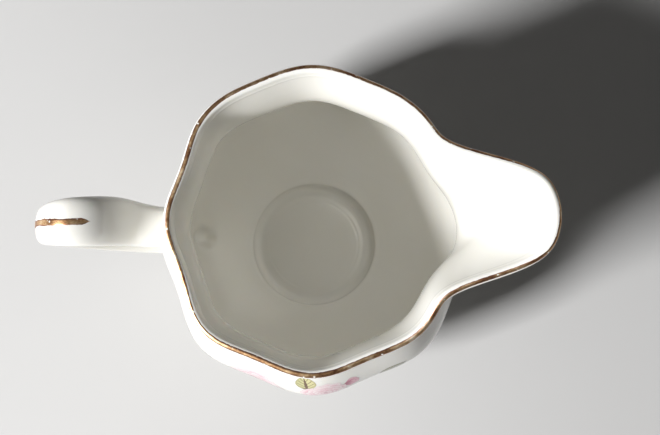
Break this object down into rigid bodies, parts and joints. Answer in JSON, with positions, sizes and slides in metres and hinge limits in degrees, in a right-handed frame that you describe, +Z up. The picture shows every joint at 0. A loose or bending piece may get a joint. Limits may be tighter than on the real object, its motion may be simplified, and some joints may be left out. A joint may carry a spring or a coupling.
{
  "type": "porcelain cream jug",
  "caption": "Lobed porcelain cream jug with a round belly, flared gilt lip, pulled pouring spout, strap handle and printed rose sprays.",
  "frame": {"origin": "centre of the foot's flat rest face, on the surface that the jug stands on", "axes": "+Z up along the bowl's axis, +X out through the spout (the spout itself is turned 1 degree off it), handle on -X"},
  "size_m": [0.126, 0.0846, 0.0929],
  "materials": {
    "porcelain": "clear glossy glaze on warm white bone china",
    "foot_porcelain": "clear glossy glaze, with a wiped, unglazed rest face",
    "gilding": "fired bright gold, rubbed thin along the edges",
    "rose_print": "transfer print fired into the glaze",
    "leaf_print": "transfer print fired into the glaze"
  },
  "bodies": {
    "root": {"bowl": "porcelain", "foot": "foot_porcelain", "handle": "porcelain", "upper_slip_joint": "porcelain", "lower_slip_joint": "porcelain", "rim_gilding": "gilding", "handle_gilding": "gilding", "front_rose_print": "rose_print", "front_bud_print": "rose_print", "front_leaf_print": "leaf_print", "back_rose_print": "rose_print", "back_bud_print": "rose_print", "back_leaf_print": "leaf_print"}
  },
  "joints": []
}
